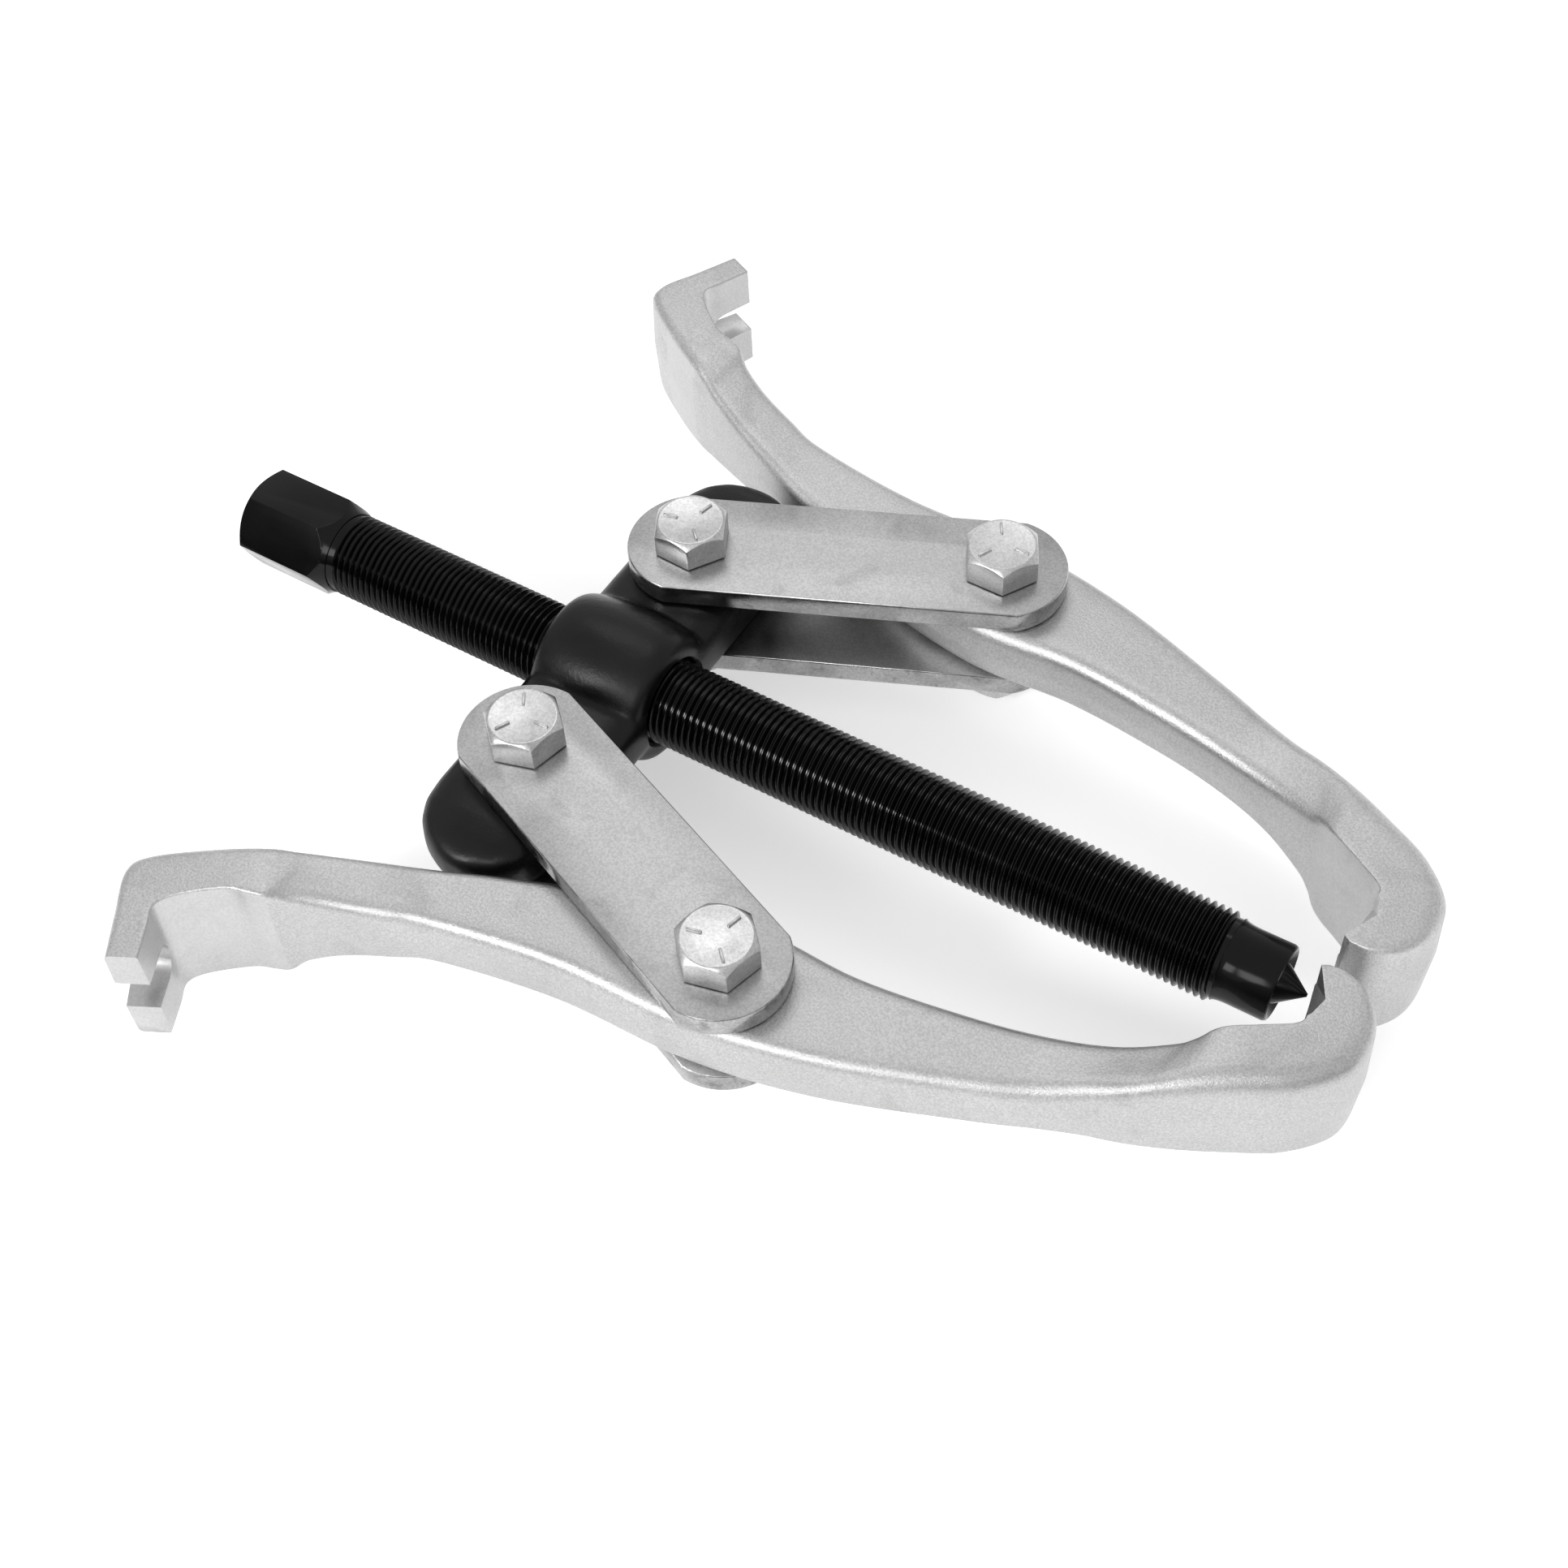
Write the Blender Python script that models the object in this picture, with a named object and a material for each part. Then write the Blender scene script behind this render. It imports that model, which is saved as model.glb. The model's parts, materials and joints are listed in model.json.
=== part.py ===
"""Two-jaw reversible gear puller, lying flat.

The forcing screw runs along X through the yoke's threaded hub.  Each yoke arm carries a pair of
links on a hex bolt, and each pair of links carries a jaw.  A jaw has a forked hook at its rear
end and a broad solid hook at its front end, next to the screw's point.
Design dimensions are in millimetres, measured from the middle of the yoke's hub, and every mesh
is written in metres.
"""

from math import asin, cos, pi, radians, sin

import bmesh
import bpy
from mathutils import Matrix, Vector

MM = 0.001
GAP = 0.3                       # clearance left between neighbouring pieces

# Forcing screw: M18 x 1.5, right hand, pointing along +X.
SCREW_CREST_R = 8.95
HEAD_ACROSS_FLATS = 19.0
HEAD_START, HEAD_END = -92.4, -72.2
HEAD_CORNER_ANGLE = 54.3        # first hex corner, from +Y towards +Z
HEAD_NECK_R = 9.6
THREAD_START, THREAD_END = -68.4, 135.4
NOSE_R, NOSE_START, NOSE_END = 7.7, 139.2, 147.4
DISH_DEPTH, DISH_LIP_R = 1.6, 6.7
POINT_BASE_R, POINT_STEM_R = 4.3, 2.4
POINT_TIP_R, POINT_TIP = 0.45, 152.3
STEM_DEPTH = 9.0
HEAD_CHAMFER, SHOULDER_LENGTH = 1.2, 1.6
NECK_DROP, NECK_END_DROP, NECK_TAPER = 0.4, 0.5, 2.0        # neck radii below HEAD_NECK_R, run-in
NOSE_FILLET, NOSE_FLARE = 1.2, 0.5
DISH_BASE_CLEARANCE, DISH_MOUTH_EXTRA = 0.2, 0.8
POINT_COLLAR = 1.2

# Yoke: a forged cross bar with a threaded hub.
HUB_R, HUB_HALF_LENGTH = 14.6, 13.0
ARM_REACH, ARM_HALF_WIDTH, ARM_HALF_HEIGHT = 56.8, 14.2, 7.2
ARM_ROOT_HALF_HEIGHT, ARM_ROOT_REACH = 11.5, 14.5
YOKE_PIVOT_Y = 29.78
HUB_EDGE = ((0.0, 2.5), (1.0, 0.8), (2.5, 0.0))     # distance in from the hub's face, radius lost
ARM_STOPS = ((-1.0, 0.30), (-0.985, 0.55), (-0.94, 0.78), (-0.86, 0.94), (-0.76, 1.0), (-0.5, 1.0),
             (-0.26, 1.0), (-0.15, 1.0), (0.15, 1.0), (0.26, 1.0), (0.5, 1.0), (0.76, 1.0),
             (0.86, 0.94), (0.94, 0.78), (0.985, 0.55), (1.0, 0.30))  # share of reach, of width
ARM_END_HEIGHT = 0.55           # share of the height that the tapered ends keep at no width
ARM_EDGE_R = 4.0

# Links and the bolts that hold them.
LINK_LENGTH, LINK_HALF_WIDTH, LINK_END_R = 64.0, 12.95, 13.65
LINK_INNER_Z, LINK_THICKNESS = 7.5, 4.9
LINK_CHAMFER, LINK_END_CHAMFER = 0.35, 0.7         # width in mm, share of it at the round ends
LINK_ANGLE = {"near": -21.756, "far": 23.525}
BOLT_R, HOLE_R = 4.76, 5.1
BOLT_HEAD_CORNER_R, BOLT_HEAD_SIDE, BOLT_HEAD_TOTAL = 8.25, 5.2, 6.5
NUT_HEIGHT, BOLT_END_PROUD = 8.3, 2.2
HEAD_CROWN, NUT_CROWN, NUT_CHAMFER = 0.97, 1.01, 0.9       # crowns as shares of the flats' radius
SHANK_CHAMFER = 0.8
YOKE_BOLT_TURN = {"near": -103.67, "far": -123.33}
JAW_BOLT_TURN = {"near": -106.22, "far": -120.58}

# Jaw: stations from the rear hook's tip to the front hook's tip, as the edge that faces the
# screw, the edge that faces out, and the half height, all from the pivot hole at (0, 0).
JAW_SCALE = 0.982
FAR_JAW_TURN = 2.0
JAW_HALF_AT_PIVOT = 7.2
JAW_STATIONS = (
    ((-98.7, -58.1), (-92.9, -55.1), 13.2),
    ((-104.0, -49.5), (-95.9, -48.8), 13.5),
    ((-107.7, -41.5), (-97.7, -44.6), 13.6),
    ((-106.4, -36.4), (-95.3, -41.0), 13.7),
    ((-95.9, -27.3), (-88.9, -34.9), 13.7),
    ((-88.0, -22.3), (-84.6, -33.2), 13.5),
    ((-83.6, -19.7), (-81.1, -31.9), 13.2),
    ((-80.0, -17.4), (-78.3, -30.2), 10.9),
    ((-70.1, -12.1), (-71.9, -26.7), 9.0),
    ((-58.8, -6.7), (-62.9, -22.7), 7.7),
    ((-47.6, -1.4), (-53.4, -19.2), 7.2),
    ((-25.4, 7.0), (-28.4, -14.6), 7.2),
    ((0.0, 13.0), (0.0, -13.3), 7.2),
    ((22.2, 13.0), (25.0, -8.0), 7.2),
    ((44.4, 15.6), (51.5, 2.3), 7.2),
    ((59.0, 19.1), (62.0, 6.9), 7.3),
    ((70.5, 23.2), (70.0, 10.8), 7.9),
    ((78.5, 27.5), (75.5, 13.8), 9.0),
    ((82.2, 29.7), (80.5, 16.3), 11.0),
    ((84.6, 31.2), (86.5, 19.9), 13.0),
    ((87.0, 32.8), (93.5, 23.6), 13.6),
    ((92.0, 36.0), (102.5, 28.2), 13.7),
    ((97.6, 40.2), (109.2, 35.8), 13.7),
    ((97.3, 44.0), (110.4, 42.4), 13.7),
    ((96.7, 48.0), (109.0, 47.9), 13.7),
    ((96.2, 51.0), (105.6, 52.2), 13.6),
    ((95.9, 52.4), (101.2, 54.2), 13.5),
    ((95.7, 53.0), (97.4, 54.0), 13.3),
)
STATION_STEPS = 3               # lofted sections between two stations
SLOT_HALF_HEIGHT, SLOT_DEPTH = 4.0, 11.0
SLOT_MOUTH, SLOT_HALF_REACH = 6.0, 24.0
SLOT_ROOT = (-101.0, -42.0)
JAW_EDGE_R, EDGE_SHARE = 2.4, 0.4          # no edge radius takes more than this share of the width
CORNER_STEPS, SLOT_STEPS, LINK_END_STEPS = 3, 10, 16
PAST, FAR_PAST = 2.0, 20.0      # how far a cutter runs past the face it leaves


def clear_scene():
    for obj in list(bpy.data.objects):
        bpy.data.objects.remove(obj, do_unlink=True)


def material(name, colour, roughness, metallic):
    mat = bpy.data.materials.new(name)
    mat.use_nodes = True
    shader = mat.node_tree.nodes["Principled BSDF"]
    shader.inputs["Base Color"].default_value = (*colour, 1.0)
    shader.inputs["Roughness"].default_value = roughness
    shader.inputs["Metallic"].default_value = metallic
    return mat


def place(name, bm, mat, parent, turn=None):
    """Turn a bmesh drawn in millimetres into a named object under its parent, in metres."""
    if turn is not None:
        bm.transform(turn)
    bm.transform(Matrix.Scale(MM, 4))
    bm.normal_update()
    bmesh.ops.recalc_face_normals(bm, faces=bm.faces)
    mesh = bpy.data.meshes.new(name)
    bm.to_mesh(mesh)
    bm.free()
    obj = bpy.data.objects.new(name, mesh)
    bpy.context.collection.objects.link(obj)
    obj.parent = parent
    if mat is not None:
        obj.data.materials.append(mat)
        mesh.shade_smooth()
        mesh.set_sharp_from_angle(angle=radians(35))
    return obj


def empty(name, location, parent=None):
    obj = bpy.data.objects.new(name, None)
    bpy.context.collection.objects.link(obj)
    obj.parent = parent
    obj.location = Vector(location) * MM
    return obj


def boolean(target, cutter, operation="DIFFERENCE"):
    cutter.hide_render = True
    cutter.display_type = "WIRE"
    mod = target.modifiers.new(cutter.name, "BOOLEAN")
    mod.object = cutter
    mod.operation = operation
    mod.solver = "EXACT"


def loft(rings):
    """Skin a list of closed rings of equal count and cap both ends."""
    bm = bmesh.new()
    loops = [[bm.verts.new(point) for point in ring] for ring in rings]
    for first, second in zip(loops, loops[1:]):
        for i in range(len(first)):
            j = (i + 1) % len(first)
            bm.faces.new((first[i], first[j], second[j], second[i]))
    for end in (loops[0], loops[-1]):
        bm.faces.new(end)
    bmesh.ops.triangulate(bm, faces=[face for face in bm.faces if len(face.verts) > 4])
    return bm


def circle(radius, count, start=0.0):
    return [(radius * cos(start + 2 * pi * i / count), radius * sin(start + 2 * pi * i / count))
            for i in range(count)]


def turned(profile, count=48, start=0.0):
    """Turn (position, radius) steps round the Z axis."""
    return loft([[(x, y, z) for x, y in circle(radius, count, start)] for z, radius in profile])


def cylinder(radius, low, high, count=32):
    return turned(((low, radius), (high, radius)), count)


def hex_prism(corner_r, profile, first_corner):
    """A hexagon whose corners are cut back by a cone: profile gives (height, cone radius)."""
    count = 36
    rings = []
    for z, limit in profile:
        ring = []
        for i in range(count):
            angle = 2 * pi * i / count
            off_flat = (angle % (pi / 3)) - pi / 6
            reach = min(corner_r * cos(pi / 6) / cos(off_flat), limit)
            turn = angle + radians(first_corner)
            ring.append((reach * cos(turn), reach * sin(turn), z))
        rings.append(ring)
    return loft(rings)


def along_x():
    """Turns a piece drawn up Z so that it points along +X, with its +X on +Y."""
    return Matrix(((0, 0, 1, 0), (1, 0, 0, 0), (0, 1, 0, 0), (0, 0, 0, 1)))


def rounded_section(inner, outer, half_height, edge_r):
    """A ring across the jaw from its inner to its outer edge, with rounded corners."""
    across = Vector(outer) - Vector(inner)
    width = across.length
    edge_r = min(edge_r, width * EDGE_SHARE)
    across.normalize()
    middle = (Vector(inner) + Vector(outer)) / 2
    ring = []
    corners = ((1, 1), (-1, 1), (-1, -1), (1, -1))
    for quarter, (side, up) in enumerate(corners):
        centre_s = side * (width / 2 - edge_r)
        centre_z = up * (half_height - edge_r)
        for step in range(CORNER_STEPS + 1):
            angle = (quarter + step / CORNER_STEPS) * pi / 2
            flat = middle + across * (centre_s + edge_r * cos(angle))
            ring.append((flat.x, flat.y, centre_z + edge_r * sin(angle)))
    return ring


def catmull(a, b, c, d, t):
    return 0.5 * (2 * b + (c - a) * t + (2 * a - 5 * b + 4 * c - d) * t ** 2
                  + (3 * b - a - 3 * c + d) * t ** 3)


def jaw_sections():
    """Smooth sections through the stations, from the forked hook's tip to the solid hook's."""
    rows = [(*inner, *outer, high) for inner, outer, high in JAW_STATIONS]
    rows = [rows[0]] + rows + [rows[-1]]
    sections = []
    for i in range(1, len(rows) - 2):
        for step in range(STATION_STEPS):
            t = step / STATION_STEPS
            sections.append([catmull(*values, t) for values in zip(*rows[i - 1:i + 3])])
    sections.append(list(rows[-1]))
    return [((x1 * JAW_SCALE, y1 * JAW_SCALE), (x2 * JAW_SCALE, y2 * JAW_SCALE),
             max(high, JAW_HALF_AT_PIVOT)) for x1, y1, x2, y2, high in sections]


def slot_cutter(tip_a, tip_b, root):
    """A U slot milled across the hook: it enters at the tip and ends in a half round."""
    tip = (Vector(tip_a) + Vector(tip_b)) / 2 * JAW_SCALE
    inward = (Vector(root) * JAW_SCALE - tip).normalized()
    side = Vector((-inward.y, inward.x))
    profile = [(-SLOT_MOUTH, -SLOT_HALF_HEIGHT), (-SLOT_MOUTH, SLOT_HALF_HEIGHT)]
    for i in range(SLOT_STEPS + 1):
        angle = pi / 2 - pi * i / SLOT_STEPS
        profile.append((SLOT_DEPTH - SLOT_HALF_HEIGHT * (1 - cos(angle)), SLOT_HALF_HEIGHT * sin(angle)))
    rings = []
    for reach in (-SLOT_HALF_REACH, SLOT_HALF_REACH):
        ring = []
        for along, z in profile:
            flat = tip + inward * along + side * reach
            ring.append((flat.x, flat.y, z))
        rings.append(ring)
    return loft(rings)


def make_jaw(side, pivot, mat):
    bm = loft([rounded_section(inner, outer, high, JAW_EDGE_R) for inner, outer, high in jaw_sections()])
    mirror = Matrix.Identity(4) if side == "near" else Matrix.Diagonal((1, -1, 1, 1))
    turn = Matrix.Rotation(radians(0 if side == "near" else FAR_JAW_TURN), 4, "Z") @ mirror
    jaw = place(f"jaw_{side}", bm, mat, pivot, turn)
    boolean(jaw, place(f"jaw_{side}_hole", cylinder(HOLE_R, -FAR_PAST, FAR_PAST), None, pivot))
    slot = slot_cutter(*JAW_STATIONS[0][:2], SLOT_ROOT)
    boolean(jaw, place(f"jaw_{side}_slot", slot, None, pivot, turn))


def link_outline():
    """A flat bar whose ends are arcs a little wider than the bar, trimmed by its sides."""
    swing = asin(LINK_HALF_WIDTH / LINK_END_R)
    points = []
    for centre, facing in ((LINK_LENGTH, 0.0), (0.0, pi)):
        for i in range(LINK_END_STEPS + 1):
            angle = facing - swing + 2 * swing * i / LINK_END_STEPS
            points.append((centre + LINK_END_R * cos(angle), LINK_END_R * sin(angle)))
    return points


def make_link(side, level, yoke_pivot, mat):
    low = LINK_INNER_Z if level == "upper" else -LINK_INNER_Z - LINK_THICKNESS
    high = low + LINK_THICKNESS
    rings = []
    outline = link_outline()
    for z, inset in ((low, LINK_CHAMFER), (low + LINK_CHAMFER, 0), (high - LINK_CHAMFER, 0),
                     (high, LINK_CHAMFER)):
        rings.append([(x - inset * (1 if x > LINK_LENGTH / 2 else -1) * LINK_END_CHAMFER,
                       y * (1 - inset / LINK_HALF_WIDTH), z) for x, y in outline])
    turn = Matrix.Rotation(radians(LINK_ANGLE[side]), 4, "Z")
    name = f"link_{side}_{level}"
    link = place(name, loft(rings), mat, yoke_pivot, turn)
    for label, x in (("inner", 0.0), ("outer", LINK_LENGTH)):
        hole = cylinder(HOLE_R, low - PAST, high + PAST)
        boolean(link, place(f"{name}_{label}_hole", hole, None, yoke_pivot,
                            turn @ Matrix.Translation((x, 0, 0))))


def make_bolt(name, pivot, first_corner, mat):
    """A hex bolt: chamfered head above the upper link, shank down past the nut."""
    seat = LINK_INNER_Z + LINK_THICKNESS + GAP
    end = -(LINK_INNER_Z + LINK_THICKNESS + GAP + NUT_HEIGHT + BOLT_END_PROUD)
    flat_r = BOLT_HEAD_CORNER_R * cos(pi / 6)
    head = hex_prism(BOLT_HEAD_CORNER_R,
                     ((seat, BOLT_HEAD_CORNER_R), (seat + BOLT_HEAD_SIDE, BOLT_HEAD_CORNER_R),
                      (seat + BOLT_HEAD_TOTAL, flat_r * HEAD_CROWN)), first_corner)
    bolt = place(name, head, mat, pivot)
    shank = turned(((end, BOLT_R - SHANK_CHAMFER), (end + SHANK_CHAMFER, BOLT_R), (seat + 1, BOLT_R)), 32)
    boolean(bolt, place(f"{name}_shank", shank, None, pivot), "UNION")


def make_nut(name, pivot, first_corner, mat):
    top = -(LINK_INNER_Z + LINK_THICKNESS + GAP)
    flat_r = BOLT_HEAD_CORNER_R * cos(pi / 6)
    nut = hex_prism(BOLT_HEAD_CORNER_R,
                    ((top - NUT_HEIGHT, flat_r * NUT_CROWN),
                     (top - NUT_HEIGHT + NUT_CHAMFER, BOLT_HEAD_CORNER_R),
                     (top - NUT_CHAMFER, BOLT_HEAD_CORNER_R), (top, flat_r * NUT_CROWN)), first_corner)
    hole = cylinder(HOLE_R, top - NUT_HEIGHT - PAST, top + PAST)
    boolean(place(name, nut, mat, pivot), place(f"{name}_hole", hole, None, pivot))


def make_yoke(frame, mat):
    """The cross bar is lofted from end to end; the hub is a drum joined to it."""
    rings = []
    for reach, spread in ARM_STOPS:
        y = reach * ARM_REACH
        middle = max(0.0, 1 - (abs(y) / ARM_ROOT_REACH) ** 2)
        high = ARM_HALF_HEIGHT + (ARM_ROOT_HALF_HEIGHT - ARM_HALF_HEIGHT) * middle
        high *= 1.0 if spread == 1.0 else ARM_END_HEIGHT + (1 - ARM_END_HEIGHT) * spread
        half = ARM_HALF_WIDTH * spread
        ring = rounded_section((-half, 0), (half, 0), high, min(ARM_EDGE_R, high / 2, half / 2))
        rings.append([(x, y, z) for x, _, z in ring])
    yoke = place("yoke", loft(rings), mat, frame)
    rear = [(-HUB_HALF_LENGTH + inward, HUB_R - drop) for inward, drop in HUB_EDGE]
    front = [(-z, radius) for z, radius in reversed(rear)]
    boolean(yoke, place("yoke_hub", turned(rear + front, 48), None, frame, along_x()), "UNION")
    bore = cylinder(SCREW_CREST_R + GAP, -2 * FAR_PAST, 2 * FAR_PAST, 48)
    boolean(yoke, place("yoke_bore", bore, None, frame, along_x()))
    for side, sign in (("near", -1), ("far", 1)):
        hole = cylinder(HOLE_R, -FAR_PAST, FAR_PAST)
        boolean(yoke, place(f"yoke_{side}_hole", hole, None, frame,
                            Matrix.Translation((0, sign * YOKE_PIVOT_Y, 0))))


def make_screw(frame, mat):
    flat_r = HEAD_ACROSS_FLATS / 2
    corner_r = flat_r / cos(pi / 6)
    head = hex_prism(corner_r, ((HEAD_START, flat_r * 1.02), (HEAD_START + HEAD_CHAMFER, corner_r),
                                (HEAD_END, corner_r), (HEAD_END + SHOULDER_LENGTH, HEAD_NECK_R)),
                     HEAD_CORNER_ANGLE)
    screw = place("forcing_screw", head, mat, frame, along_x())
    shaft = turned(((HEAD_END, HEAD_NECK_R - NECK_DROP),
                    (THREAD_START - NECK_TAPER, HEAD_NECK_R - NECK_END_DROP),
                    (THREAD_START, SCREW_CREST_R), (THREAD_END, SCREW_CREST_R),
                    (THREAD_END + NOSE_FILLET, NOSE_R + NOSE_FLARE),
                    (NOSE_START, NOSE_R), (NOSE_END, NOSE_R)))
    boolean(screw, place("forcing_screw_shaft", shaft, None, frame, along_x()), "UNION")
    dish = turned(((NOSE_END - DISH_DEPTH, POINT_BASE_R + GAP + DISH_BASE_CLEARANCE),
                   (NOSE_END + 1, DISH_LIP_R + DISH_MOUTH_EXTRA)))
    boolean(screw, place("forcing_screw_dish", dish, None, frame, along_x()))
    socket = cylinder(POINT_STEM_R + GAP, NOSE_END - STEM_DEPTH - GAP, NOSE_END)
    boolean(screw, place("forcing_screw_socket", socket, None, frame, along_x()))


def make_point(frame, mat):
    floor = NOSE_END - DISH_DEPTH + GAP
    point = turned(((NOSE_END - STEM_DEPTH, POINT_STEM_R), (floor, POINT_STEM_R),
                    (floor, POINT_BASE_R), (floor + POINT_COLLAR, POINT_BASE_R),
                    (POINT_TIP, POINT_TIP_R)), 36)
    place("centre_point", point, mat, frame, along_x())


def stand_on_ground(frame):
    """Put the middle of the footprint on the world origin, with the lowest point at zero."""
    bpy.context.view_layer.update()
    graph = bpy.context.evaluated_depsgraph_get()
    corners = []
    for obj in bpy.data.objects:
        if obj.type == "MESH" and not obj.hide_render:
            solid = obj.evaluated_get(graph)
            corners += [obj.matrix_world @ vert.co for vert in solid.data.vertices]
    low = [min(corner[axis] for corner in corners) for axis in range(3)]
    high = [max(corner[axis] for corner in corners) for axis in range(3)]
    frame.location = (-(low[0] + high[0]) / 2, -(low[1] + high[1]) / 2, -low[2])
    bpy.context.view_layer.update()
    print("frame stands at", [round(value, 6) for value in frame.location])
    print("size", [round(high[axis] - low[axis], 6) for axis in range(3)])


def main():
    clear_scene()
    zinc = material("zinc_plate", (0.62, 0.62, 0.63), 0.42, 0.9)
    forged_zinc = material("forged_zinc", (0.58, 0.58, 0.59), 0.5, 0.85)
    black_oxide = material("black_oxide", (0.012, 0.012, 0.013), 0.32, 0.5)
    black_forging = material("black_forging", (0.016, 0.016, 0.017), 0.42, 0.2)
    frame = empty("puller_frame", (0, 0, 0))
    make_yoke(frame, black_forging)
    make_screw(frame, black_oxide)
    make_point(frame, black_oxide)
    for side, sign in (("near", -1), ("far", 1)):
        yoke_pivot = empty(f"yoke_pivot_{side}", (0, sign * YOKE_PIVOT_Y, 0), frame)
        angle = radians(LINK_ANGLE[side])
        jaw_pivot = empty(f"jaw_pivot_{side}", (LINK_LENGTH * cos(angle), LINK_LENGTH * sin(angle), 0),
                          yoke_pivot)
        for level in ("upper", "lower"):
            make_link(side, level, yoke_pivot, zinc)
        make_bolt(f"yoke_bolt_{side}", yoke_pivot, YOKE_BOLT_TURN[side], zinc)
        make_nut(f"yoke_nut_{side}", yoke_pivot, YOKE_BOLT_TURN[side], zinc)
        make_bolt(f"jaw_bolt_{side}", jaw_pivot, JAW_BOLT_TURN[side], zinc)
        make_nut(f"jaw_nut_{side}", jaw_pivot, JAW_BOLT_TURN[side], zinc)
        make_jaw(side, jaw_pivot, forged_zinc)
    stand_on_ground(frame)


main()
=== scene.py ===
# %% [markdown]
# # A two-jaw gear puller, finished for a studio picture
# The frame holds the solids that move: a cross bar, a forcing screw, links, jaws, bolts and nuts.
# Each of them is plain. Here every piece is rebuilt with the edges, threads, forging and tool marks
# of the real thing, and rides on the body it belongs to. Lengths are written in millimetres and
# turned into metres in one place.

# %% Load the frame
import json
from math import asin, atan2, cos, degrees, hypot, pi, radians, sin

import bmesh
import bpy
from mathutils import Matrix, Vector, noise


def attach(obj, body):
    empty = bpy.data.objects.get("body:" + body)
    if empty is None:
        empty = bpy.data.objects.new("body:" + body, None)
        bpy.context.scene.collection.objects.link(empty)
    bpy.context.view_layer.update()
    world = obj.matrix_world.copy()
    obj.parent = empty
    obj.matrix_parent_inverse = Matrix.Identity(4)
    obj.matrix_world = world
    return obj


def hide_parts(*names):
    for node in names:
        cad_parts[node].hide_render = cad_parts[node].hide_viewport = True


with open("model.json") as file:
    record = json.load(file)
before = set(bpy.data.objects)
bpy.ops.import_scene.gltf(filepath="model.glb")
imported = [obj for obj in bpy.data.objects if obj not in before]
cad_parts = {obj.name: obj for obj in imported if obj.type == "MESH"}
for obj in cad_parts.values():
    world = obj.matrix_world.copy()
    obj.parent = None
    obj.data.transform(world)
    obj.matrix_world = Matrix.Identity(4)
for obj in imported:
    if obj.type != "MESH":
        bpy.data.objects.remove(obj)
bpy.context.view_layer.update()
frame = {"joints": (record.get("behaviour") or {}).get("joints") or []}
MM = 0.001

# %% [markdown]
# The joints already say where everything turns. The middle of the two yoke pivots is a point on the
# screw's axis, and it makes a good origin to think in: X along the screw, Z out of the jaws' plane.

# %% Places that come from the joints
JOINTS = {joint["name"]: joint for joint in frame["joints"]}
SIDES = ("near", "far")
YOKE_PIVOT = {side: Vector(JOINTS[f"link_swing_{side}"]["pos_m"]) / MM for side in SIDES}
JAW_PIVOT = {side: Vector(JOINTS[f"jaw_swing_{side}"]["pos_m"]) / MM for side in SIDES}
CENTRE = (YOKE_PIVOT["near"] + YOKE_PIVOT["far"]) / 2
LINK_LENGTH = (JAW_PIVOT["near"] - YOKE_PIVOT["near"]).length
LINK_TURN = {side: atan2(*reversed((JAW_PIVOT[side] - YOKE_PIVOT[side])[:2])) for side in SIDES}
print("screw axis through", [round(value, 2) for value in CENTRE], "link", round(LINK_LENGTH, 2), "mm")

# %% [markdown]
# ## Camera
# The picture looks down on the tool from above its nose side. A camera is easiest to read as a
# heading, a slope and a distance from the point it looks at, and a small roll levels the shot.

# %% Camera
AIM = CENTRE + Vector((43.97, -6.52, 0.0))
HEADING, SLOPE, ROLL, DISTANCE = radians(124.18), radians(52.83), radians(-3.33), 459.7
LENS = 53.5

camera = bpy.data.objects.new("camera", bpy.data.cameras.new("camera"))
bpy.context.scene.collection.objects.link(camera)
looking = Vector((cos(HEADING) * cos(SLOPE), sin(HEADING) * cos(SLOPE), -sin(SLOPE)))
camera.location = (AIM - looking * DISTANCE) * MM
camera.rotation_euler = (looking.to_track_quat("-Z", "Y").to_matrix() @ Matrix.Rotation(ROLL, 3, "Z")).to_euler()
camera.data.lens = LENS
camera.data.sensor_width = 36.0
camera.data.clip_start = 0.01
bpy.context.scene.camera = camera
print("camera at", [round(value, 3) for value in camera.location])


# %% [markdown]
# ## Tools of the bench
# Four small helpers carry most of the work. `turned` spins an outline into a round part, as a lathe
# would. `boolean` cuts or joins two meshes and keeps the result. `rings_loft` pulls a section along
# a path by extruding its rim. `finish` puts a piece in its place and lets it ride on its body.

# %% Helpers
def make_object(name, bm):
    """A mesh object from a bmesh drawn in millimetres, still in millimetres."""
    bm.normal_update()
    mesh = bpy.data.meshes.new(name)
    bm.to_mesh(mesh)
    bm.free()
    obj = bpy.data.objects.new(name, mesh)
    bpy.context.scene.collection.objects.link(obj)
    return obj


def close_up(bm, distance=1e-4):
    bmesh.ops.remove_doubles(bm, verts=bm.verts, dist=distance)
    bmesh.ops.recalc_face_normals(bm, faces=bm.faces)
    return bm


def turned(profile, steps=64, close=True):
    """Spin (radius, height) points round Z; a point at radius zero closes the end."""
    bm = bmesh.new()
    verts = [bm.verts.new((radius, 0, height)) for radius, height in profile]
    edges = [bm.edges.new(pair) for pair in zip(verts, verts[1:])]
    bmesh.ops.spin(bm, geom=verts + edges, cent=(0, 0, 0), axis=(0, 0, 1), angle=2 * pi,
                   steps=steps, use_merge=True, use_duplicate=False)
    return close_up(bm) if close else bm


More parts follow.
